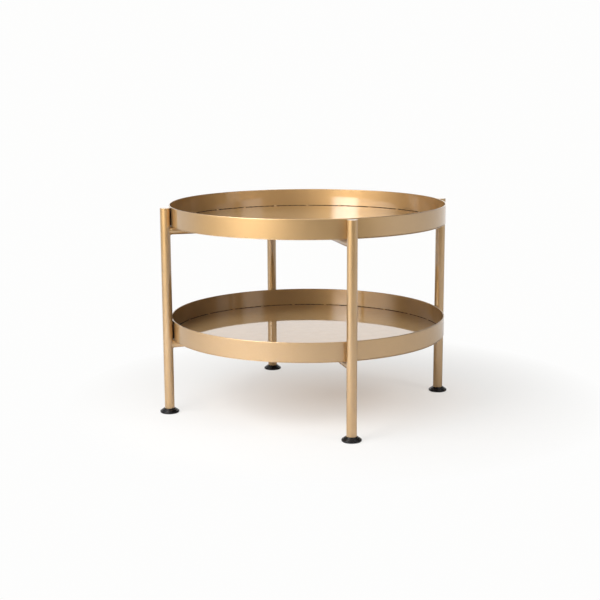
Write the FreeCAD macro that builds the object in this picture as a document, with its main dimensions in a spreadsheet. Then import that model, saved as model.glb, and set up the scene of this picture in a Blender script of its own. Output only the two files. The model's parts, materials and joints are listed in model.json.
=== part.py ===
import FreeCAD, Part
import math
import os

import Sketcher
from FreeCAD import Placement, Rotation, Vector

# Two-tier round side table: two shallow trays carried between four tube legs on levelling feet.
# The origin is on the floor under the table's centre, +Z is up and the front leg stands towards -Y.

# Driving sizes in millimetres, and shares of them
SIZES = {
    # Trays: a flat disc with a rolled flat-bar hoop standing on its edge
    "tray_diameter": 600.0,
    "upper_tray_level": 405.2,
    "lower_tray_level": 160.4,
    "floor_thickness": 1.5,
    "floor_edge_round_share": 0.36,
    "rim_height": 39.5,
    "rim_wall": 2.5,
    "rim_top_round_share": 0.46,
    "rim_foot_round_share": 0.36,
    # Tack welds in the corner between hoop and disc
    "tack_leg": 1.8,
    "tack_length": 7.0,
    "tack_clearance": 0.1,
    # Legs, standing just outside the rims
    "leg_diameter": 21.3,
    "leg_wall": 1.5,
    "leg_rim_gap": 1.6,
    "leg_top_drop": 1.3,
    "cap_thickness": 1.6,
    "cap_round_share": 0.45,
    "cap_spigot_length": 9.0,
    "plug_clearance": 0.1,
    # Tubes that carry the trays, with ends shaped to the tube that they meet
    "cross_tube_diameter": 17.2,
    "cross_tube_wall": 1.2,
    "weld_gap": 0.15,
    # Levelling feet
    "pad_diameter": 41.2,
    "pad_height": 10.0,
    "pad_edge_height": 3.8,
    "pad_top_diameter": 23.0,
    "pad_dome_radius": 11.0,
    "pad_sole_round": 1.2,
    "pad_sole_thickness": 2.2,
    "pad_leg_gap": 0.3,
    "stud_diameter": 8.0,
    "stud_head_diameter": 13.0,
    "stud_head_thickness": 2.4,
    "stud_tip_chamfer": 1.0,
    "swivel_clearance": 0.3,
    "socket_length": 22.0,
    "thread_clearance": 0.25,
    "foot_travel": 8.0,
    "thread_hold": 12.0,
}

# Direction of each leg round the table, in degrees from +X
LEGS = {"right": 0, "back": 90, "left": 180, "front": 270}

# Trays by name: the size that holds the height of the underside, and the turn of the tack welds in degrees
TRAYS = {"upper": ("upper_tray_level", 13.8), "lower": ("lower_tray_level", 5.5)}
TACKS_PER_TRAY = 24

FULL_TURN = 360
QUARTER_TURN = 90

# Sizes worked out from the driving ones
RIM_OUTER = "sizes.tray_diameter / 2"
RIM_INNER = f"({RIM_OUTER} - sizes.rim_wall)"
RIM_TOP_ROUND = "sizes.rim_wall * sizes.rim_top_round_share"
RIM_FOOT_ROUND = "sizes.rim_wall * sizes.rim_foot_round_share"
FLOOR_EDGE_ROUND = "sizes.floor_thickness * sizes.floor_edge_round_share"
TACK_FACE = f"({RIM_INNER} - sizes.tack_clearance)"
LEG_RADIUS = "sizes.leg_diameter / 2"
LEG_BORE = "(sizes.leg_diameter - 2 * sizes.leg_wall)"
LEG_CIRCLE = f"({RIM_OUTER} + sizes.leg_rim_gap + {LEG_RADIUS})"
LEG_FOOT = "(sizes.pad_height + sizes.pad_leg_gap)"
LEG_TOP = "(sizes.upper_tray_level + sizes.floor_thickness + sizes.rim_height - sizes.leg_top_drop)"
CAP_ROUND = "sizes.cap_thickness * sizes.cap_round_share"
PLUG_DIAMETER = f"({LEG_BORE} - 2 * sizes.plug_clearance)"
STUD_SEAT = "(sizes.pad_sole_thickness + sizes.swivel_clearance)"
STUD_LENGTH = f"({LEG_FOOT} + sizes.foot_travel + sizes.thread_hold - {STUD_SEAT})"

doc = FreeCAD.newDocument("tiered_side_table")
sheet = doc.addObject("Spreadsheet::Sheet", "sizes")
for row, (alias, number) in enumerate(SIZES.items(), start=1):
    sheet.set(f"A{row}", alias)
    sheet.set(f"B{row}", str(number))
    sheet.setAlias(f"B{row}", alias)
doc.recompute()


def value(expression):
    """The number that an expression in the sheet's sizes gives now."""
    return float(sheet.evalExpression(expression))


# Sketches

def new_sketch(body, role):
    """An empty sketch on one of the body's own origin planes."""
    plane = next(item for item in body.Origin.OriginFeatures if item.Role == role)
    sketch = body.newObject("Sketcher::SketchObject", f"{body.Name}_sketch")
    sketch.AttachmentSupport = [(plane, "")]
    sketch.MapMode = "FlatFace"
    return sketch


def pin_point(sketch, element, point, across, up):
    """Hold one sketch point at a place given by two expressions, where "0" means on the axis."""
    for kind, axis, expression in (("DistanceX", -2, across), ("DistanceY", -1, up)):
        if expression == "0":
            sketch.addConstraint(Sketcher.Constraint("PointOnObject", element, point, axis))
            continue
        rule = Sketcher.Constraint(kind, -1, 1, element, point, value(expression))
        index = sketch.addConstraint(rule)
        sketch.setExpression(f"Constraints[{index}]", expression)


def bind_rule(sketch, kind, element, expression):
    """Add a one-element dimension, such as a radius, bound to an expression."""
    index = sketch.addConstraint(Sketcher.Constraint(kind, element, value(expression)))
    sketch.setExpression(f"Constraints[{index}]", expression)


def add_circle(sketch, diameter, up="0"):
    """A circle on the sketch's upright axis."""
    centre = Vector(0, value(up), 0)
    ring = Part.Circle(centre, Vector(0, 0, 1), value(diameter) / 2)
    element = sketch.addGeometry(ring)
    bind_rule(sketch, "Diameter", element, diameter)
    pin_point(sketch, element, 3, "0", up)
    return element


def arc_between(start, end, radius):
    """The arc from start to end, turning left, as geometry for a sketch."""
    chord = end - start
    left = Vector(-chord.y, chord.x, 0).normalize()
    reach = math.sqrt(max(radius ** 2 - (chord.Length / 2) ** 2, 0))
    centre = (start + end) / 2 + left * reach
    first = math.atan2(start.y - centre.y, start.x - centre.x)
    last = math.atan2(end.y - centre.y, end.x - centre.x)
    if last < first:
        last += math.tau
    return Part.ArcOfCircle(Part.Circle(centre, Vector(0, 0, 1), radius), first, last)


def rounded(across, up, radius, side, level):
    """The two points of a rounded square corner, on an outline that turns left."""
    across_sign = "-" if side == "right" else "+"
    up_sign = "-" if level == "top" else "+"
    along = (f"{across} {across_sign} {radius}", up)
    upright = (across, radius if up == "0" else f"{up} {up_sign} {radius}")
    first, last = (along, upright) if across_sign != up_sign else (upright, along)
    return [(*first, radius), last]


def draw_outline(sketch, points):
    """A closed outline that turns left. A point is (across, up), or (across, up, radius) before an arc."""
    places = [Vector(value(point[0]), value(point[1]), 0) for point in points]
    count = len(points)
    for index, point in enumerate(points):
        start = places[index]
        end = places[(index + 1) % count]
        if len(point) == 3:
            sketch.addGeometry(arc_between(start, end, value(point[2])))
        else:
            sketch.addGeometry(Part.LineSegment(start, end))
    for index in range(count):
        sketch.addConstraint(Sketcher.Constraint("Coincident", index, 2, (index + 1) % count, 1))
    for index, point in enumerate(points):
        pin_point(sketch, index, 1, point[0], point[1])
        if len(point) == 3:
            bind_rule(sketch, "Radius", index, point[2])


# Bodies

parts = []


def new_body(label):
    """A body that is one sub-part of the table."""
    body = doc.addObject("PartDesign::Body", label)
    body.Label = label
    parts.append(body)
    return body


def place(body, across="0", along="0", up="0", rotation=Rotation()):
    """Put a body at a place that follows the sheet."""
    body.Placement = Placement(Vector(), rotation)
    for axis, expression in (("x", across), ("y", along), ("z", up)):
        body.setExpression(f"Placement.Base.{axis}", expression)


def place_on_leg(body, heading, up):
    """Put an upright body on the axis of the leg that stands in one direction."""
    place(body, f"{LEG_CIRCLE} * cos({heading})", f"{LEG_CIRCLE} * sin({heading})", up)


def turned_body(label, points):
    """A body turned about its own upright axis from half of its outline."""
    body = new_body(label)
    sketch = new_sketch(body, "XZ_Plane")
    draw_outline(sketch, points)
    turning = body.newObject("PartDesign::Revolution", f"{label}_turning")
    turning.Profile = sketch
    turning.ReferenceAxis = (sketch, ["V_Axis"])
    turning.Angle = FULL_TURN
    return body


def tube_body(label, outer, bore, length, symmetric=False):
    """A round tube along the body's own Z axis."""
    body = new_body(label)
    sketch = new_sketch(body, "XY_Plane")
    add_circle(sketch, outer)
    add_circle(sketch, bore)
    tube = body.newObject("PartDesign::Pad", f"{label}_tube")
    tube.Profile = sketch
    tube.SideType = "Symmetric" if symmetric else "One side"
    tube.setExpression("Length", length)
    return body


def cope(body, role, diameter, ups):
    """Shape a tube's end to a round tube that crosses it, with the weld's root gap between them."""
    doc.recompute()
    before = body.Shape.Volume
    sketch = new_sketch(body, role)
    cut = f"{diameter} + 2 * sizes.weld_gap"
    first = add_circle(sketch, cut, ups)
    if body.Tip.SideType == "Symmetric":
        mirror_circle(sketch, first, cut)
    pocket = body.newObject("PartDesign::Pocket", f"{body.Name}_cope")
    pocket.Profile = sketch
    pocket.Type = "ThroughAll"
    pocket.SideType = "Symmetric"
    doc.recompute()
    if not body.Shape.Volume < before:
        raise RuntimeError(f"{body.Label}: the end was not shaped")


def mirror_circle(sketch, first, diameter):
    """The same circle on the other side of the sketch's origin."""
    ring = sketch.Geometry[first].copy()
    ring.Center = -ring.Center
    second = sketch.addGeometry(ring)
    bind_rule(sketch, "Diameter", second, diameter)
    sketch.addConstraint(Sketcher.Constraint("Symmetric", first, 3, second, 3, -1, 1))


# Trays

def tray_floor(name, level):
    """The tray's flat disc."""
    body = turned_body(f"{name}_tray_floor", [
        ("0", "0"),
        *rounded(RIM_OUTER, "0", FLOOR_EDGE_ROUND, "right", "bottom"),
        *rounded(RIM_OUTER, "sizes.floor_thickness", FLOOR_EDGE_ROUND, "right", "top"),
        ("0", "sizes.floor_thickness"),
    ])
    place(body, up=level)


def tray_rim(name, level):
    """The hoop that stands on the disc's edge, with a nearly full round along its top."""
    body = turned_body(f"{name}_tray_rim", [
        *rounded(RIM_INNER, "0", RIM_FOOT_ROUND, "left", "bottom"),
        *rounded(RIM_OUTER, "0", RIM_FOOT_ROUND, "right", "bottom"),
        *rounded(RIM_OUTER, "sizes.rim_height", RIM_TOP_ROUND, "right", "top"),
        *rounded(RIM_INNER, "sizes.rim_height", RIM_TOP_ROUND, "left", "top"),
    ])
    place(body, up=f"{level} + sizes.floor_thickness")


def tray_tacks(name, level, turn):
    """The short tack welds in the corner between hoop and disc, as one group of separate solids."""
    body = turned_body(f"{name}_tray_tacks", [
        (f"{TACK_FACE} - sizes.tack_leg", "0"),
        (TACK_FACE, "0"),
        (TACK_FACE, "sizes.tack_leg"),
    ])
    tack = body.Tip
    tack.setExpression("Angle", f"{FULL_TURN} * sizes.tack_length / (2 * pi * {TACK_FACE})")
    tack.Midplane = True
    ring = body.newObject("PartDesign::PolarPattern", f"{body.Name}_ring")
    ring.Originals = [tack]
    ring.Axis = (next(item for item in body.Origin.OriginFeatures if item.Role == "Z_Axis"), [""])
    ring.Angle = FULL_TURN
    ring.Occurrences = TACKS_PER_TRAY
    body.Tip = ring
    place(body, up=f"{level} + sizes.floor_thickness", rotation=Rotation(Vector(0, 0, 1), turn))


# Tubes under the trays

def lying_along(heading):
    """The turn that lays a body's own Z axis level, in one direction round the table."""
    return Rotation(Vector(0, 0, 1), heading) * Rotation(Vector(0, 1, 0), QUARTER_TURN)


def tray_tubes(name, level):
    """A tube from the left leg to the right leg, and two half tubes that meet it in the middle."""
    diameter = "sizes.cross_tube_diameter"
    bore = f"{diameter} - 2 * sizes.cross_tube_wall"
    axis_height = f"{level} - {diameter} / 2"
    cross = tube_body(f"{name}_cross_tube", diameter, bore, f"2 * {LEG_CIRCLE}", symmetric=True)
    cope(cross, "YZ_Plane", "sizes.leg_diameter", LEG_CIRCLE)
    place(cross, up=axis_height, rotation=lying_along(LEGS["right"]))
    for side in ("front", "back"):
        arm = tube_body(f"{name}_arm_{side}", diameter, bore, LEG_CIRCLE)
        cope(arm, "XZ_Plane", diameter, "0")
        cope(arm, "YZ_Plane", "sizes.leg_diameter", LEG_CIRCLE)
        place(arm, up=axis_height, rotation=lying_along(LEGS[side]))


# Legs

def leg(side, heading):
    """An upright tube, open at its foot and plugged at its top."""
    tube = tube_body(f"leg_{side}", "sizes.leg_diameter", LEG_BORE, f"{LEG_TOP} - sizes.cap_thickness - {LEG_FOOT}")
    place_on_leg(tube, heading, LEG_FOOT)


def leg_cap(side, heading):
    """The plug in the leg's top: a flat head with a rounded edge, on a spigot inside the tube."""
    crown = "sizes.cap_spigot_length + sizes.cap_thickness"
    body = turned_body(f"leg_cap_{side}", [
        ("0", "0"),
        (f"{PLUG_DIAMETER} / 2", "0"),
        (f"{PLUG_DIAMETER} / 2", "sizes.cap_spigot_length"),
        (LEG_RADIUS, "sizes.cap_spigot_length"),
        *rounded(LEG_RADIUS, crown, CAP_ROUND, "right", "top"),
        ("0", crown),
    ])
    place_on_leg(body, heading, f"{LEG_TOP} - ({crown})")


# Levelling feet

def foot_socket(side, heading):
    """The threaded plug pressed into the leg's foot. Its thread is a plain bore."""
    bore = "sizes.stud_diameter + 2 * sizes.thread_clearance"
    body = tube_body(f"foot_socket_{side}", PLUG_DIAMETER, bore, "sizes.socket_length")
    place_on_leg(body, heading, LEG_FOOT)


def foot_stud(side, heading):
    """The stud that screws into the socket, with a disc head that the pad holds. Its thread is a plain shank."""
    shank = "sizes.stud_diameter / 2"
    head = "sizes.stud_head_diameter / 2"
    body = turned_body(f"foot_stud_{side}", [
        ("0", "0"),
        (head, "0"),
        (head, "sizes.stud_head_thickness"),
        (shank, "sizes.stud_head_thickness"),
        (shank, f"{STUD_LENGTH} - sizes.stud_tip_chamfer"),
        (f"{shank} - sizes.stud_tip_chamfer", STUD_LENGTH),
        ("0", STUD_LENGTH),
    ])
    place_on_leg(body, heading, STUD_SEAT)


def foot_pad(side, heading):
    """The domed pad, moulded round the stud's head so that the stud can turn in it."""
    edge = "sizes.pad_diameter / 2"
    neck = "sizes.stud_diameter / 2 + sizes.swivel_clearance"
    pocket = "sizes.stud_head_diameter / 2 + sizes.swivel_clearance"
    pocket_top = f"{STUD_SEAT} + sizes.stud_head_thickness + sizes.swivel_clearance"
    body = turned_body(f"foot_pad_{side}", [
        ("0", "0"),
        *rounded(edge, "0", "sizes.pad_sole_round", "right", "bottom"),
        (edge, "sizes.pad_edge_height", "sizes.pad_dome_radius"),
        ("sizes.pad_top_diameter / 2", "sizes.pad_height"),
        (neck, "sizes.pad_height"),
        (neck, pocket_top),
        (pocket, pocket_top),
        (pocket, "sizes.pad_sole_thickness"),
        ("0", "sizes.pad_sole_thickness"),
    ])
    place_on_leg(body, heading, "0")


for tray, (level_size, tack_turn) in TRAYS.items():
    tray_level = f"sizes.{level_size}"
    tray_floor(tray, tray_level)
    tray_rim(tray, tray_level)
    tray_tacks(tray, tray_level, tack_turn)
    tray_tubes(tray, tray_level)

for leg_side, leg_heading in LEGS.items():
    leg(leg_side, leg_heading)
    leg_cap(leg_side, leg_heading)
    foot_socket(leg_side, leg_heading)
    foot_stud(leg_side, leg_heading)
    foot_pad(leg_side, leg_heading)

doc.recompute()

for item in doc.Objects:
    if {"Invalid", "Error"} & set(item.State):
        raise RuntimeError(f"{item.Label} failed: {item.State}")
for body in parts:
    if body.Shape.isNull() or not body.Shape.isValid() or not body.Shape.Solids:
        raise RuntimeError(f"{body.Label} has no valid solid")

os.makedirs("parts", exist_ok=True)
for body in parts:
    body.Shape.exportStep(f"parts/{body.Label}.step")
print(f"{len(parts)} sub-parts, {sum(len(body.Shape.Solids) for body in parts)} solids")
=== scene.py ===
import json
import math

import bmesh
import bpy
from mathutils import Matrix, Vector


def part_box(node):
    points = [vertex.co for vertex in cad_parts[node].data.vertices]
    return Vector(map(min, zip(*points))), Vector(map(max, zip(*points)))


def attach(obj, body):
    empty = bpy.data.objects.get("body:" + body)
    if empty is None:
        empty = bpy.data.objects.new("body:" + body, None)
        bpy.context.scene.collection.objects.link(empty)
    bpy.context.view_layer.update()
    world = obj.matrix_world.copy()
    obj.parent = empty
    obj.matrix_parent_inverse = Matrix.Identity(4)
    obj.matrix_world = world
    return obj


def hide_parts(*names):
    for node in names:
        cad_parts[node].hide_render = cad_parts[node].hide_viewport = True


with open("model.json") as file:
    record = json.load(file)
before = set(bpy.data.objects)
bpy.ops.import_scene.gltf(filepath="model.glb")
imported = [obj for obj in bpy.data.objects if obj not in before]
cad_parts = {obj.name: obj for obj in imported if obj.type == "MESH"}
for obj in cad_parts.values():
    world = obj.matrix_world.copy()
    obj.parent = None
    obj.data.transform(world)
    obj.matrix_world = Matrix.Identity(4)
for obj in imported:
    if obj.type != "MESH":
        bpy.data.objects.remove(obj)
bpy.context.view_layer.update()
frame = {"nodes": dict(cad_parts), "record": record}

# Looks of a two-tier round side table: gold lacquered steel trays and tubes on black levelling feet.
# Everything is in metres, in the part's own frame: origin on the floor under the centre, +Z up.

MM = 0.001
TRAYS = ("upper", "lower")
SIDES = ("right", "back", "left", "front")
HEADINGS = {"right": 0.0, "back": 90.0, "left": 180.0, "front": 270.0}

# Sizes read from the frame
RIM_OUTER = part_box("upper_tray_rim")[1].x
LEG_RADIUS = (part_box("leg_right")[1].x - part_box("leg_right")[0].x) / 2
LEG_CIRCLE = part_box("leg_right")[1].x - LEG_RADIUS
TUBE_RADIUS = (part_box("upper_cross_tube")[1].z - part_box("upper_cross_tube")[0].z) / 2
FLOOR_TOP = {tray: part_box(f"{tray}_tray_floor")[1].z for tray in TRAYS}
RIM_TOP = {tray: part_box(f"{tray}_tray_rim")[1].z for tray in TRAYS}
LEG_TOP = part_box("leg_cap_right")[1].z
TUBE_LEVEL = {tray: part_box(f"{tray}_cross_tube")[1].z - TUBE_RADIUS for tray in TRAYS}
STUD_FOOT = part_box("foot_stud_right")[0].z
STUD_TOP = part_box("foot_stud_right")[1].z

# The hoop's thickness, which the frame's boxes don't show
RIM_WALL = 2.5 * MM
RIM_INNER = RIM_OUTER - RIM_WALL

# The photograph's camera, given as it sees the table: across to the right, away from it and up
VIEW_TURN = math.radians(15.85)
CAMERA_PLACE = (-0.0166, -2.6263, 0.7312)
CAMERA_PITCH = math.radians(10.80)
CAMERA_ROLL = math.radians(-0.24)
CAMERA_LENS = 72.68


def in_view(across, away, up):
    """The place in the part's frame of a point given as the photograph sees it."""
    return Matrix.Rotation(-VIEW_TURN, 4, "Z") @ Vector((across, away, up))


# Meshes

SHARP_ANGLE = math.radians(48)


def new_object(name, geometry, material):
    """An object with smooth faces, made from a finished bmesh."""
    bmesh.ops.recalc_face_normals(geometry, faces=geometry.faces)
    mesh = bpy.data.meshes.new(name)
    geometry.to_mesh(mesh)
    geometry.free()
    mesh.shade_smooth()
    mesh.set_sharp_from_angle(angle=SHARP_ANGLE)
    piece = bpy.data.objects.new(name, mesh)
    bpy.context.scene.collection.objects.link(piece)
    piece.data.materials.append(material)
    return piece


def add_piece(name, geometry, material, body):
    """A finished piece of the table, which moves with a body."""
    piece = new_object(name, geometry, material)
    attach(piece, body)
    return piece


def round_table(radius, angle, level):
    """The point at a radius and angle about the table's axis."""
    return Vector((radius * math.cos(angle), radius * math.sin(angle), level))


def curve_points(start, control, end, count):
    """Points along a quadratic curve."""
    points = []
    for step in range(count):
        share = step / (count - 1)
        rest = 1 - share
        points.append(rest ** 2 * start + 2 * share * rest * control + share ** 2 * end)
    return points


def turn_to(geometry, side):
    """Turn a piece made at the right leg to another leg."""
    turn = Matrix.Rotation(math.radians(HEADINGS[side]), 4, "Z")
    bmesh.ops.transform(geometry, matrix=turn, verts=geometry.verts)


def skin_rings(geometry, rings, closed):
    """Join equal rings of points into a tube. A closed tube meets itself, an open one gets end faces."""
    loops = [[geometry.verts.new(point) for point in ring] for ring in rings]
    count = len(loops[0])
    last = len(loops) if closed else len(loops) - 1
    for index in range(last):
        here = loops[index]
        there = loops[(index + 1) % len(loops)]
        for corner in range(count):
            after = (corner + 1) % count
            geometry.faces.new((here[corner], here[after], there[after], there[corner]))
    if not closed:
        geometry.faces.new(reversed(loops[0]))
        geometry.faces.new(loops[-1])


# Weld fillets where a tube meets a leg

FILLET_ALONG_TUBE = 3.6 * MM
FILLET_ALONG_LEG = 3.0 * MM
FILLET_ROOT = 0.6 * MM
FILLET_STEPS = 72
FILLET_CURVE = 7
RIPPLES = 26
RIPPLE_SHARE = 0.05


def fillet_ring(angle, level):
    """The fillet's section at an angle round the tube: a hollow curve, closed inside the metal."""
    swell = 1 + RIPPLE_SHARE * math.sin(RIPPLES * angle)
    side = math.cos(angle)
    rise = math.sin(angle)

    def on_leg(radius, spread_out, depth):
        turn = math.asin(radius * side / LEG_RADIUS) + spread_out * side / LEG_RADIUS
        reach = LEG_RADIUS - depth
        height = level + (radius + spread_out) * rise
        return Vector((LEG_CIRCLE - reach * math.cos(turn), reach * math.sin(turn), height))

    root = on_leg(TUBE_RADIUS, 0, 0)
    tube_end = root - Vector((FILLET_ALONG_TUBE * swell, 0, 0))
    leg_end = on_leg(TUBE_RADIUS, FILLET_ALONG_LEG * swell, 0)
    inside = on_leg(TUBE_RADIUS - FILLET_ROOT, 0, FILLET_ROOT)
    return [inside] + curve_points(tube_end, root, leg_end, FILLET_CURVE)


def leg_fillet(tray, side, material):
    """The weld fillet all round one tube end."""
    geometry = bmesh.new()
    angles = [math.tau * step / FILLET_STEPS for step in range(FILLET_STEPS)]
    rings = [fillet_ring(angle, TUBE_LEVEL[tray]) for angle in angles]
    skin_rings(geometry, rings, closed=True)
    turn_to(geometry, side)
    add_piece(f"{tray}_leg_weld_{side}", geometry, material, "frame")


# Painted shade: dark fillers in the narrow slits between the legs and the hoops, where shade falls

SLIT_SHADE_HALF = 3.0 * MM
SLIT_SHADE_SINK = 0.2 * MM
SLIT_SHADE_END = 1.0 * MM
SLIT_SHADE_STEP = 0.7 * MM
SLIT_SHADE_RIPPLE = 2.1 * MM
SLIT_SHADE_HOLLOW = 0.72
SLIT_SHADE_POINTS = 5


def slit_shade_ring(level, half):
    """The section at one height of a dark filler, painted shade: it fills the narrow gap from the hoop's
    face to the leg.
    """
    across = [half * (2 * step / (SLIT_SHADE_POINTS - 1) - 1) for step in range(SLIT_SHADE_POINTS)]
    rim = [Vector((math.sqrt(RIM_OUTER ** 2 - v ** 2) - SLIT_SHADE_SINK, v, level)) for v in across]
    reach = LEG_RADIUS - SLIT_SHADE_SINK
    leg = [Vector((LEG_CIRCLE - math.sqrt(reach ** 2 - v ** 2), v, level)) for v in reversed(across)]
    middle = (RIM_OUTER + LEG_CIRCLE - LEG_RADIUS) / 2
    after = Vector((middle, half * SLIT_SHADE_HOLLOW, level))
    before = Vector((middle, -half * SLIT_SHADE_HOLLOW, level))
    return rim + [after] + leg + [before]


def rim_slit_shade(tray, side, material):
    """The upright dark filler between one leg and one hoop, painted shade in the slit."""
    geometry = bmesh.new()
    bottom = FLOOR_TOP[tray] + SLIT_SHADE_END
    top = min(RIM_TOP[tray], LEG_TOP) - SLIT_SHADE_END
    count = round((top - bottom) / SLIT_SHADE_STEP)
    rings = []
    for step in range(count + 1):
        level = bottom + (top - bottom) * step / count
        swell = 1 + RIPPLE_SHARE * math.sin(math.tau * level / SLIT_SHADE_RIPPLE)
        rings.append(slit_shade_ring(level, SLIT_SHADE_HALF * swell))
    skin_rings(geometry, rings, closed=False)
    turn_to(geometry, side)
    add_piece(f"{tray}_rim_slit_shade_{side}", geometry, material, "frame")


# Tack welds in the corner between hoop and disc, and the dark line of the joint that they bridge; the dark
# line is painted shade of the crevice

TACKS = 24
TACK_TURN = {"upper": 13.8, "lower": 5.5}
TACK_LEG = 1.8 * MM
TACK_HALF_LENGTH = 3.5 * MM
TACK_END_SHARE = 0.3
TACK_RIPPLES = 14
TACK_STEPS = 16
TACK_CURVE = 6
TACK_SINK = 0.3 * MM
TACK_BULGE = 0.75
JOINT_UP = 1.4 * MM
JOINT_IN = 1.1 * MM
JOINT_PROUD = 0.02 * MM
JOINT_CORNER = 0.1 * MM
JOINT_SINK = 0.2 * MM
JOINT_STEPS = 288


def tack_ring(angle, size, level):
    """A bead's section: a swelling curve from hoop to disc, closed inside the metal."""
    wall = Vector((RIM_INNER, 0, level + size))
    disc = Vector((RIM_INNER - size, 0, level))
    control = Vector((RIM_INNER - TACK_BULGE * size, 0, level + TACK_BULGE * size))
    inside = [Vector((RIM_INNER - size / 2, 0, level - TACK_SINK)),
              Vector((RIM_INNER + TACK_SINK, 0, level - TACK_SINK)),
              Vector((RIM_INNER + TACK_SINK, 0, level + size / 2))]
    section = curve_points(wall, control, disc, TACK_CURVE) + inside
    return [round_table(point.x, angle, point.z) for point in section]


def tack_beads(tray, material):
    """All the tack welds of one tray."""
    geometry = bmesh.new()
    for tack in range(TACKS):
        middle = math.radians(TACK_TURN[tray]) + math.tau * tack / TACKS
        rings = []
        for step in range(TACK_STEPS + 1):
            along = 2 * step / TACK_STEPS - 1
            size = TACK_END_SHARE + (1 - TACK_END_SHARE) * math.sqrt(1 - along ** 2)
            size *= 1 + RIPPLE_SHARE * math.sin(TACK_RIPPLES * along + tack)
            angle = middle + along * TACK_HALF_LENGTH / RIM_INNER
            rings.append(tack_ring(angle, TACK_LEG * size, FLOOR_TOP[tray]))
        skin_rings(geometry, rings, closed=False)
    piece = add_piece(f"{tray}_tray_tack_beads", geometry, material, "frame")
    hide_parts(f"{tray}_tray_tacks")


def joint_shade_line(tray, material):
    """A thin dark ring all round the corner between hoop and disc, painted shade of the crevice."""
    level = FLOOR_TOP[tray]
    wall = Vector((RIM_INNER - JOINT_PROUD, 0, level + JOINT_UP))
    disc = Vector((RIM_INNER - JOINT_IN, 0, level + JOINT_PROUD))
    control = Vector((RIM_INNER - JOINT_CORNER, 0, level + JOINT_CORNER))
    inside = [Vector((RIM_INNER - JOINT_IN, 0, level - JOINT_SINK)),
              Vector((RIM_INNER + JOINT_SINK, 0, level - JOINT_SINK)),
              Vector((RIM_INNER + JOINT_SINK, 0, level + JOINT_UP))]
    section = curve_points(wall, control, disc, TACK_CURVE) + inside
    geometry = bmesh.new()
    rings = []
    for step in range(JOINT_STEPS):
        angle = math.tau * step / JOINT_STEPS
        rings.append([round_table(point.x, angle, point.z) for point in section])
    skin_rings(geometry, rings, closed=True)
    add_piece(f"{tray}_tray_joint_shade", geometry, material, "frame")


# Welds under the trays: round the arms' inner ends, and short stitches from the tubes to the discs

ARM_BEAD = 1.5 * MM
ARM_BEAD_COVER = 0.4 * MM
ARM_BEAD_STEPS = 96
ARM_BEAD_POINTS = 10
ARM_BEAD_EASE = 0.05
TANGENT_STEP = 0.01
STITCH_RADII = (0.095, 0.185, 0.265)
STITCH_HALF_LENGTH = 9.0 * MM
STITCH_STEPS = 14
STITCH_INNER = 2.4 * MM
STITCH_OUTER = 5.6 * MM
STITCH_SINK = 0.25 * MM
STITCH_TUBE_INSET = 0.5 * MM
STITCH_HOLLOW_INSET = 0.7 * MM
STITCH_HOLLOW_SHARE = 0.45
STITCH_END_SIZE = 0.45
STITCH_CROWN = 0.5
STITCH_RIPPLES = 17
STITCH_CURVE = 5


def arm_path(angle, level):
    """A point of the line where an arm, running along +X, meets the cross tube."""
    reach = math.sqrt(math.cos(angle) ** 2 + ARM_BEAD_EASE)
    height = level + TUBE_RADIUS * math.sin(angle)
    return Vector((TUBE_RADIUS * reach, TUBE_RADIUS * math.cos(angle), height))


def arm_bead(tray, side, material):
    """The bead round an arm's end, at the middle of the table."""
    geometry = bmesh.new()
    level = TUBE_LEVEL[tray]
    rings = []
    for step in range(ARM_BEAD_STEPS):
        angle = math.tau * step / ARM_BEAD_STEPS
        here = arm_path(angle, level)
        tangent = arm_path(angle + TANGENT_STEP, level) - arm_path(angle - TANGENT_STEP, level)
        tangent.normalize()
        outward = Vector((0, math.cos(angle), math.sin(angle)))
        outward = (outward - outward.dot(tangent) * tangent).normalized()
        sideways = tangent.cross(outward)
        size = ARM_BEAD * (1 + RIPPLE_SHARE * math.sin(RIPPLES * angle))
        size = min(size, level + TUBE_RADIUS - here.z + ARM_BEAD_COVER)
        ring = []
        for corner in range(ARM_BEAD_POINTS):
            turn = math.tau * corner / ARM_BEAD_POINTS
            ring.append(here + size * (math.cos(turn) * outward + math.sin(turn) * sideways))
        rings.append(ring)
    skin_rings(geometry, rings, closed=True)
    turn_to(geometry, side)
    add_piece(f"{tray}_arm_weld_{side}", geometry, material, "frame")


def stitch_ring(along, size, hand, level):
    """A stitch's section beside a tube that runs along +X: it fills the wedge up to the disc."""
    inner = STITCH_INNER
    outer = inner + (STITCH_OUTER - inner) * size
    edge = outer - STITCH_TUBE_INSET

    def on_tube(across):
        return level + math.sqrt(TUBE_RADIUS ** 2 - across ** 2)

    top = level + TUBE_RADIUS
    disc_end = Vector((along, outer, top))
    tube_end = Vector((along, edge, on_tube(edge)))
    drop = STITCH_HOLLOW_SHARE * (top - tube_end.z)
    control = Vector((along, outer - STITCH_HOLLOW_INSET, top - drop))
    inside = [Vector((along, inner, on_tube(inner) - STITCH_SINK)),
              Vector((along, inner, top + STITCH_SINK)),
              Vector((along, outer, top + STITCH_SINK))]
    section = inside + curve_points(disc_end, control, tube_end, STITCH_CURVE)
    return [Vector((point.x, hand * point.y, point.z)) for point in section]


def stitches(tray, material):
    """Short welds on both sides of each tube, up to the disc."""
    geometry = bmesh.new()
    places = [(side, radius, hand) for side in SIDES for radius in STITCH_RADII for hand in (-1, 1)]
    for side, radius, hand in places:
        turn = Matrix.Rotation(math.radians(HEADINGS[side]), 4, "Z")
        rings = []
        for step in range(STITCH_STEPS + 1):
            along = 2 * step / STITCH_STEPS - 1
            size = STITCH_END_SIZE + STITCH_CROWN * math.sqrt(1 - along ** 2)
            size += RIPPLE_SHARE * math.sin(STITCH_RIPPLES * along)
            ring = stitch_ring(radius + along * STITCH_HALF_LENGTH, size, hand, TUBE_LEVEL[tray])
            rings.append([turn @ point for point in ring])
        skin_rings(geometry, rings, closed=False)
    add_piece(f"{tray}_tray_stitches", geometry, material, "frame")


# Levelling feet: stepped pads and threaded studs

PAD_STEPS = 96
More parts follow.
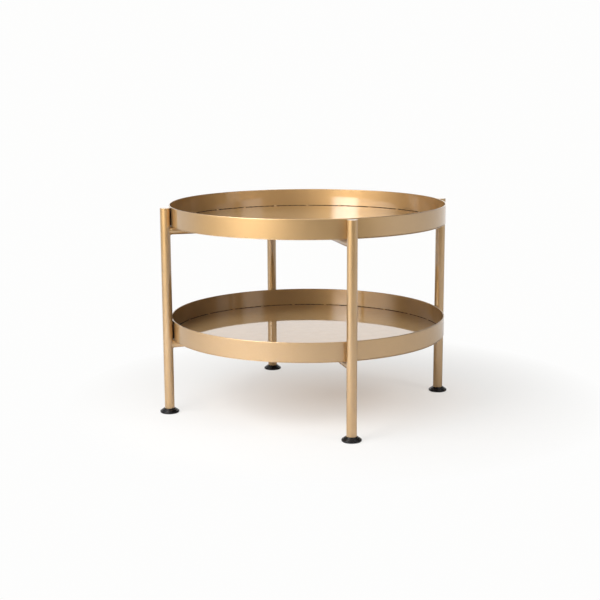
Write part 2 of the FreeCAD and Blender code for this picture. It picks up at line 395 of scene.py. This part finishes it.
# The pad's half section in mm, as radius and level, from the middle of its foot round and back
PAD_PROFILE = (
    (0.0, 0.0), (18.4, 0.0), (19.5, 0.3), (20.2, 0.9), (20.55, 1.8), (20.6, 2.8), (20.45, 3.7),
    (20.0, 4.5), (19.2, 5.05), (18.2, 5.3), (17.3, 5.35), (16.95, 5.55), (16.8, 6.0), (16.65, 6.6),
    (16.2, 7.2), (15.4, 7.6), (14.4, 7.85), (13.6, 8.0), (13.25, 8.2), (13.1, 8.7), (12.95, 9.3),
    (12.6, 9.75), (12.0, 10.0), (4.3, 10.0), (4.3, 5.2), (6.8, 5.2), (6.8, 2.2), (0.0, 2.2),
)
MERGE_DISTANCE = 0.001 * MM
THREAD_PITCH = 1.25 * MM
THREAD_ROOT = 3.35 * MM
THREAD_CREST = 3.97 * MM
THREAD_FLAT = 0.16
THREAD_POINTS = 36
THREAD_STEPS_PER_TURN = 8
STUD_HEAD_RADIUS = 6.5 * MM
STUD_HEAD_HEIGHT = 2.4 * MM
STUD_NECK_STEP = 0.01 * MM
STUD_EDGE = 0.3 * MM
STUD_TIP = 1.0 * MM


def foot_pad(side, material):
    """A moulded pad with a flange, a shoulder and a collar under the leg, hollow for the stud's head."""
    geometry = bmesh.new()
    axis = Vector((LEG_CIRCLE, 0, 0))
    rings = []
    for step in range(PAD_STEPS):
        angle = math.tau * step / PAD_STEPS
        rings.append([axis + round_table(radius * MM, angle, level * MM) for radius, level in PAD_PROFILE])
    skin_rings(geometry, rings, closed=True)
    bmesh.ops.remove_doubles(geometry, verts=geometry.verts, dist=MERGE_DISTANCE)
    left_over = [edge for edge in geometry.edges if edge.is_wire]
    bmesh.ops.delete(geometry, geom=left_over, context="EDGES")
    turn_to(geometry, side)
    piece = add_piece(f"moulded_pad_{side}", geometry, material, f"pad_{side}")
    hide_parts(f"foot_pad_{side}")


def thread_radius(angle, level):
    """The shank's radius, with a right-hand thread that runs out in the chamfer at its tip."""
    phase = (level / THREAD_PITCH - angle / math.tau) % 1
    flank = 1 - abs(2 * phase - 1)
    rise = min(1, max(0, flank * (1 + 2 * THREAD_FLAT) - THREAD_FLAT))
    radius = THREAD_ROOT + (THREAD_CREST - THREAD_ROOT) * rise
    return min(radius, THREAD_CREST - max(0, level - (STUD_TOP - STUD_TIP)))


def threaded_stud(side, material):
    """The screw of one foot, from its disc head up into the leg."""
    neck = STUD_FOOT + STUD_HEAD_HEIGHT
    sections = [(STUD_FOOT, STUD_HEAD_RADIUS - STUD_EDGE), (STUD_FOOT + STUD_EDGE, STUD_HEAD_RADIUS),
                (neck - STUD_EDGE, STUD_HEAD_RADIUS), (neck, STUD_HEAD_RADIUS - STUD_EDGE),
                (neck + STUD_NECK_STEP, THREAD_ROOT)]
    angles = [math.tau * corner / THREAD_POINTS for corner in range(THREAD_POINTS)]
    axis = Vector((LEG_CIRCLE, 0, 0))
    rings = [[axis + round_table(radius, angle, level) for angle in angles] for level, radius in sections]
    start = neck + STUD_EDGE
    count = round((STUD_TOP - start) / THREAD_PITCH * THREAD_STEPS_PER_TURN)
    for step in range(count + 1):
        level = start + (STUD_TOP - start) * step / count
        rings.append([axis + round_table(thread_radius(angle, level), angle, level) for angle in angles])
    geometry = bmesh.new()
    skin_rings(geometry, rings, closed=False)
    turn_to(geometry, side)
    piece = add_piece(f"threaded_stud_{side}", geometry, material, f"stud_{side}")
    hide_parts(f"foot_stud_{side}")


# Shader nodes

NOISE_LOW = 0.3
NOISE_HIGH = 0.7


def feed(tree, socket, value):
    """Give a socket a fixed value, or link it to another node's output."""
    if isinstance(value, bpy.types.NodeSocket):
        tree.links.new(value, socket)
    else:
        socket.default_value = value


def maths(tree, operation, first, second=0.0):
    """The result of a calculation with one or two numbers."""
    node = tree.nodes.new("ShaderNodeMath")
    node.operation = operation
    feed(tree, node.inputs[0], first)
    feed(tree, node.inputs[1], second)
    return node.outputs["Value"]


def vector_maths(tree, operation, first, second, result):
    """The result of a calculation with vectors, from the output "Value" or "Vector"."""
    node = tree.nodes.new("ShaderNodeVectorMath")
    node.operation = operation
    feed(tree, node.inputs[0], first)
    feed(tree, node.inputs[1], second)
    return node.outputs[result]


def span(tree, value, start, end, low, high, interpolation="LINEAR"):
    """Map a span of values to another, and hold the ends."""
    node = tree.nodes.new("ShaderNodeMapRange")
    node.interpolation_type = interpolation
    feed(tree, node.inputs["Value"], value)
    feed(tree, node.inputs["From Min"], start)
    feed(tree, node.inputs["From Max"], end)
    feed(tree, node.inputs["To Min"], low)
    feed(tree, node.inputs["To Max"], high)
    return node.outputs["Result"]


def object_place(tree):
    """The shaded point in the object's own coordinates."""
    return tree.nodes.new("ShaderNodeTexCoord").outputs["Object"]


def noise(tree, place, scale, detail):
    """Noise in the object's own coordinates."""
    node = tree.nodes.new("ShaderNodeTexNoise")
    node.inputs["Scale"].default_value = scale
    node.inputs["Detail"].default_value = detail
    tree.links.new(place, node.inputs["Vector"])
    return node.outputs["Fac"]


def two_tone(tree, factor, low, high):
    """A colour between two tones, led by noise."""
    node = tree.nodes.new("ShaderNodeValToRGB")
    node.color_ramp.elements[0].position = NOISE_LOW
    node.color_ramp.elements[0].color = (*low, 1)
    node.color_ramp.elements[1].position = NOISE_HIGH
    node.color_ramp.elements[1].color = (*high, 1)
    tree.links.new(factor, node.inputs["Fac"])
    return node.outputs["Color"]


def bump(tree, height, strength, distance):
    """A normal from a height."""
    node = tree.nodes.new("ShaderNodeBump")
    node.inputs["Strength"].default_value = strength
    node.inputs["Distance"].default_value = distance
    tree.links.new(height, node.inputs["Height"])
    return node.outputs["Normal"]


# Procedural finishes. Each grain is a noise's scale and detail.

FLAKES = (1400, 2)
GOLD_TONES = ((0.411, 0.265, 0.120), (0.461, 0.297, 0.136))
GOLD_CLOUDS = (60, 3)
GOLD_ROUGHNESS = (0.475, 0.525)
GOLD_EDGE_TINT = (0.95, 0.84, 0.68, 1)
COAT_ROUGHNESS = 0.03
COAT_IOR = 1.7
ORANGE_PEEL = (220, 2)
ORANGE_PEEL_STRENGTH = 0.05
ORANGE_PEEL_HEIGHT = 0.2 * MM

DARK_GRAIN = (90, 3)
DARK_CLOUDS = (160, 3)
DARK_ROUGHNESS = (0.60, 0.80)
# Painted shade: dark browns for the corner joints and for the slits beside the legs
JOINT_SHADE_TONES = ((0.030, 0.017, 0.008), (0.060, 0.036, 0.017))
JOINT_SHADE_GLOSS = 0.2
SLIT_SHADE_TONES = ((0.006, 0.0035, 0.0016), (0.014, 0.008, 0.004))
SLIT_SHADE_GLOSS = 0.04

BLACK_GRAIN = (500, 3)
BLACK_TONES = ((0.003, 0.003, 0.0033), (0.007, 0.007, 0.0074))
BLACK_CLOUDS = (300, 3)
BLACK_ROUGHNESS = (0.20, 0.30)
BLACK_GLOSS = 0.22
MOULD_GRAIN = (1800, 2)
MOULD_GRAIN_STRENGTH = 0.15
MOULD_GRAIN_HEIGHT = 0.1 * MM

ZINC_GRAIN = (240, 4)
ZINC_TONES = ((0.52, 0.52, 0.50), (0.66, 0.66, 0.64))
ZINC_CLOUDS = (700, 3)
ZINC_ROUGHNESS = (0.24, 0.36)


def new_material(name):
    """A material with a single principled shader, and its node tree."""
    material = bpy.data.materials.new(name)
    material.use_nodes = True
    tree = material.node_tree
    return material, tree, tree.nodes["Principled BSDF"]


def grained(name, grain, tones, clouds, roughness):
    """A material whose colour varies with a grain, and whose roughness varies in clouds."""
    material, tree, shader = new_material(name)
    place = object_place(tree)
    tree.links.new(two_tone(tree, noise(tree, place, *grain), *tones), shader.inputs["Base Color"])
    sheen = span(tree, noise(tree, place, *clouds), NOISE_LOW, NOISE_HIGH, *roughness)
    tree.links.new(sheen, shader.inputs["Roughness"])
    return material, tree, shader


def gold_lacquer():
    """Metallic gold under a clear glossy coat, with fine flakes and a trace of orange peel in the coat."""
    material, tree, shader = grained("gold_lacquer_finish", FLAKES, GOLD_TONES, GOLD_CLOUDS,
                                     GOLD_ROUGHNESS)
    peel = noise(tree, object_place(tree), *ORANGE_PEEL)
    peel_normal = bump(tree, peel, ORANGE_PEEL_STRENGTH, ORANGE_PEEL_HEIGHT)
    tree.links.new(peel_normal, shader.inputs["Coat Normal"])
    shader.inputs["Metallic"].default_value = 1.0
    shader.inputs["Specular Tint"].default_value = GOLD_EDGE_TINT
    shader.inputs["Coat Weight"].default_value = 1.0
    shader.inputs["Coat Roughness"].default_value = COAT_ROUGHNESS
    shader.inputs["Coat IOR"].default_value = COAT_IOR
    return material


def painted_shade_lacquer(name, tones, gloss):
    """A dull dark brown used as painted shade, in the corner joint and in the narrow slits beside the
    legs.
    """
    material, _, shader = grained(name, DARK_GRAIN, tones, DARK_CLOUDS, DARK_ROUGHNESS)
    shader.inputs["Specular IOR Level"].default_value = gloss
    return material


def black_plastic():
    """Moulded black plastic with a fine grain."""
    material, tree, shader = grained("black_plastic_finish", BLACK_GRAIN, BLACK_TONES, BLACK_CLOUDS,
                                     BLACK_ROUGHNESS)
    shader.inputs["Specular IOR Level"].default_value = BLACK_GLOSS
    mould = noise(tree, object_place(tree), *MOULD_GRAIN)
    mould_normal = bump(tree, mould, MOULD_GRAIN_STRENGTH, MOULD_GRAIN_HEIGHT)
    tree.links.new(mould_normal, shader.inputs["Normal"])
    return material


def zinc_steel():
    """Bright zinc plated steel."""
    material, _, shader = grained("zinc_steel_finish", ZINC_GRAIN, ZINC_TONES, ZINC_CLOUDS,
                                  ZINC_ROUGHNESS)
    shader.inputs["Metallic"].default_value = 1.0
    return material


GOLD = gold_lacquer()
BLACK = black_plastic()
ZINC = zinc_steel()
# Painted shade: the dark finishes of the corner rings and of the slit fillers
PAINTED_JOINT_SHADE = painted_shade_lacquer("joint_painted_shade_finish", JOINT_SHADE_TONES, JOINT_SHADE_GLOSS)
PAINTED_SLIT_SHADE = painted_shade_lacquer("slit_painted_shade_finish", SLIT_SHADE_TONES, SLIT_SHADE_GLOSS)
FINISHES = {"gold_lacquer": GOLD, "pad_plastic": BLACK, "socket_plastic": BLACK, "zinc_steel": ZINC}

for subpart in frame["record"]["subparts"]:
    node_object = frame["nodes"][subpart["node"]]
    for material_slot in node_object.material_slots:
        material_slot.material = FINISHES[subpart["material_slot"]]

for tray_name in TRAYS:
    tack_beads(tray_name, GOLD)
    # A dark ring in the corner joint: painted shade
    joint_shade_line(tray_name, PAINTED_JOINT_SHADE)
    stitches(tray_name, GOLD)
    for side_name in SIDES:
        leg_fillet(tray_name, side_name, GOLD)
        # A dark filler in the slit beside the leg: painted shade
        rim_slit_shade(tray_name, side_name, PAINTED_SLIT_SHADE)
    for side_name in ("front", "back"):
        arm_bead(tray_name, side_name, GOLD)
for side_name in SIDES:
    foot_pad(side_name, BLACK)
    threaded_stud(side_name, ZINC)


# Stage: a pale floor that turns into the white background with distance, with a painted warm shadow under
# the table for the camera

FLOOR_REACH = 30.0
FLOOR_CORNERS = 96
FLOOR_GRAIN = (9, 4)
FLOOR_TONES = ((0.870, 0.853, 0.836), (0.890, 0.873, 0.856))
FLOOR_ROUGHNESS = 0.9
FLOOR_GLOSS = 0.1
SHADOW_MIDDLE = (0.069, 0.056, 0.0)
SHADOW_LIFT = 0.45
SHADOW_REACH = 0.62
PAINTED_SHADOW_EDGE_REACH = 0.35
FAR_START = 0.45
FAR_END = 1.30
WHITE_SIDE = (0.34, 0.94, 0.0)
WHITE_SIDE_START = -0.55
WHITE_SIDE_END = 0.05
WHITE = (1, 1, 1, 1)
BACKDROP_WHITE = (0.985, 0.985, 0.980, 1)
PAINTED_SHADOW_TONE = (0.832, 0.742, 0.667, 1)
PAINTED_SHADOW_EDGE_TONE = (0.873, 0.868, 0.855, 1)
BACKDROP_SIDE = (-0.42, 0.91, 0.0)
BACKDROP_START = 0.45
BACKDROP_END = 0.80
BACKDROP_LIGHT = 0.60
CAMERA_SIDE_LIGHT = 0.10


def camera_ray(tree):
    """One for a ray straight from the camera, and zero for any other."""
    return tree.nodes.new("ShaderNodeLightPath").outputs["Is Camera Ray"]


def mix_shaders(tree, factor, first, second, target):
    """Blend two shaders into the material's or the world's output."""
    blend = tree.nodes.new("ShaderNodeMixShader")
    tree.links.new(factor, blend.inputs["Fac"])
    tree.links.new(first, blend.inputs[1])
    tree.links.new(second, blend.inputs[2])
    tree.links.new(blend.outputs["Shader"], tree.nodes[target].inputs["Surface"])


def floor_material():
    """A pale matt floor that fades to white for the camera, and for all light far off at the backdrop. For
    the camera it carries a painted warm shadow under the table.
    """
    material, tree, shader = new_material("pale_floor")
    place = object_place(tree)
    shader.inputs["Roughness"].default_value = FLOOR_ROUGHNESS
    shader.inputs["Specular IOR Level"].default_value = FLOOR_GLOSS
    tone = two_tone(tree, noise(tree, place, *FLOOR_GRAIN), *FLOOR_TONES)
    tree.links.new(tone, shader.inputs["Base Color"])
    # Painted shadow: for the camera, a warm emission that darkens towards a point under the table is mixed
    # over the lit floor
    distance = vector_maths(tree, "DISTANCE", place, in_view(*SHADOW_MIDDLE), "Value")
    fade = span(tree, distance, 0, SHADOW_REACH, 0, 1)
    painted_shadow_ramp = tree.nodes.new("ShaderNodeValToRGB")
    painted_shadow_ramp.color_ramp.elements[0].color = PAINTED_SHADOW_TONE
    painted_shadow_ramp.color_ramp.elements[1].color = BACKDROP_WHITE
    painted_shadow_ramp.color_ramp.elements.new(PAINTED_SHADOW_EDGE_REACH / SHADOW_REACH).color = PAINTED_SHADOW_EDGE_TONE
    tree.links.new(fade, painted_shadow_ramp.inputs["Fac"])
    white = tree.nodes.new("ShaderNodeEmission")
    tree.links.new(painted_shadow_ramp.outputs["Color"], white.inputs["Color"])
    seen = maths(tree, "MULTIPLY", camera_ray(tree), span(tree, fade, 0, 1, SHADOW_LIFT, 1))
    far = span(tree, distance, FAR_START, FAR_END, 0, 1, "SMOOTHSTEP")
    heading = vector_maths(tree, "NORMALIZE", place, (0, 0, 0), "Vector")
    aim = vector_maths(tree, "DOT_PRODUCT", heading, in_view(*WHITE_SIDE), "Value")
    backdrop = span(tree, aim, WHITE_SIDE_START, WHITE_SIDE_END, 0, far, "SMOOTHSTEP")
    whiteness = maths(tree, "MAXIMUM", seen, backdrop)
    mix_shaders(tree, whiteness, shader.outputs["BSDF"], white.outputs["Emission"], "Material Output")
    return material


def studio_floor():
    """A wide flat disc under the table."""
    geometry = bmesh.new()
    bmesh.ops.create_circle(geometry, cap_ends=True, segments=FLOOR_CORNERS, radius=FLOOR_REACH)
    floor = new_object("studio_floor", geometry, floor_material())


def studio_world():
    """White towards the backdrop and dimmer on the camera's side. The camera itself sees plain white."""
    world = bpy.data.worlds.new("studio")
    bpy.context.scene.world = world
    world.use_nodes = True
    tree = world.node_tree
    light = tree.nodes["Background"]
    light.inputs["Color"].default_value = WHITE
    heading = tree.nodes.new("ShaderNodeTexCoord").outputs["Generated"]
    aim = vector_maths(tree, "DOT_PRODUCT", heading, in_view(*BACKDROP_SIDE), "Value")
    level = span(tree, aim, BACKDROP_START, BACKDROP_END, CAMERA_SIDE_LIGHT, BACKDROP_LIGHT,
                 "SMOOTHSTEP")
    tree.links.new(level, light.inputs["Strength"])
    white = tree.nodes.new("ShaderNodeBackground")
    white.inputs["Color"].default_value = BACKDROP_WHITE
    mix_shaders(tree, camera_ray(tree), light.outputs["Background"], white.outputs["Background"],
                "World Output")


LAMP_MIDDLE = 0.5
SOFT_EDGE_SHARE = 0.30

# Lamps: place and aim as the photograph sees them, width, height and power in watts
LAMPS = {
    "key_softbox": ((-0.72, -0.92, 0.82), (0.0, 0.0, 0.30), 0.78, 1.00, 13.0),
    "left_softbox": ((-1.90, -1.10, 1.30), (0.0, 0.0, 0.30), 3.40, 2.50, 32.0),
    "left_floor_softbox": ((-1.30, -0.60, 1.40), (-1.30, -0.60, 0.0), 0.80, 0.80, 11.0),
    "right_softbox": ((1.70, -1.28, 1.20), (0.0, 0.0, 0.30), 1.20, 2.30, 7.6),
    "right_high_softbox": ((1.40, -1.05, 1.60), (0.0, 0.0, 0.40), 0.90, 0.90, 10.0),
    "side_softbox": ((1.98, -0.24, 0.95), (0.0, 0.0, 0.30), 1.10, 1.80, 2.1),
    "front_softbox": ((0.19, -1.33, 1.55), (0.0, 0.0, 0.40), 2.00, 1.10, 10.5),
    "top_softbox": ((0.0, 0.0, 2.40), (0.0, 0.0, 0.0), 2.40, 2.40, 8.0),
    "back_softbox": ((0.0, 2.60, 0.90), (0.0, 0.0, 0.30), 3.20, 1.80, 7.5),
}


def fall_off(tree, across):
    """The share of a lamp's light at a place across it: full in the middle, and none at its two edges."""
    distance = maths(tree, "ABSOLUTE", maths(tree, "SUBTRACT", across, LAMP_MIDDLE))
    return span(tree, distance, LAMP_MIDDLE, LAMP_MIDDLE - SOFT_EDGE_SHARE, 0, 1, "SMOOTHSTEP")


def soften(data):
    """Let a lamp fade towards its edges, as light through cloth does, at the same power in all."""
    data.use_nodes = True
    tree = data.node_tree
    split = tree.nodes.new("ShaderNodeSeparateXYZ")
    across = tree.nodes.new("ShaderNodeNewGeometry").outputs["Parametric"]
    tree.links.new(across, split.inputs["Vector"])
    wide = fall_off(tree, split.outputs["X"])
    high = fall_off(tree, split.outputs["Y"])
    level = maths(tree, "MULTIPLY", wide, high)
    strength = maths(tree, "DIVIDE", level, (1 - SOFT_EDGE_SHARE) ** 2)
    tree.links.new(strength, tree.nodes["Emission"].inputs["Strength"])


def softbox(name, place, target, width, height, watts):
    """A rectangular lamp that faces a point on the table."""
    data = bpy.data.lights.new(name, "AREA")
    data.shape = "RECTANGLE"
    data.size = width
    data.size_y = height
    data.energy = watts
    soften(data)
    lamp = bpy.data.objects.new(name, data)
    bpy.context.scene.collection.objects.link(lamp)
    lamp.location = in_view(*place)
    lamp.rotation_mode = "QUATERNION"
    lamp.rotation_quaternion = (in_view(*target) - in_view(*place)).to_track_quat("-Z", "Y")
    lamp.visible_camera = False


def photo_camera():
    """The camera at the photograph's viewpoint."""
    data = bpy.data.cameras.new("photo_camera")
    data.lens = CAMERA_LENS
    camera = bpy.data.objects.new("photo_camera", data)
    bpy.context.scene.collection.objects.link(camera)
    heading = Matrix.Rotation(-VIEW_TURN, 4, "Z")
    tilt = Matrix.Rotation(math.radians(90) - CAMERA_PITCH, 4, "X")
    roll = Matrix.Rotation(CAMERA_ROLL, 4, "Z")
    camera.matrix_world = Matrix.Translation(in_view(*CAMERA_PLACE)) @ heading @ tilt @ roll
    bpy.context.scene.camera = camera


studio_floor()
studio_world()
for lamp_name, lamp_facts in LAMPS.items():
    softbox(lamp_name, *lamp_facts)
photo_camera()
bpy.context.scene.view_settings.view_transform = "Standard"
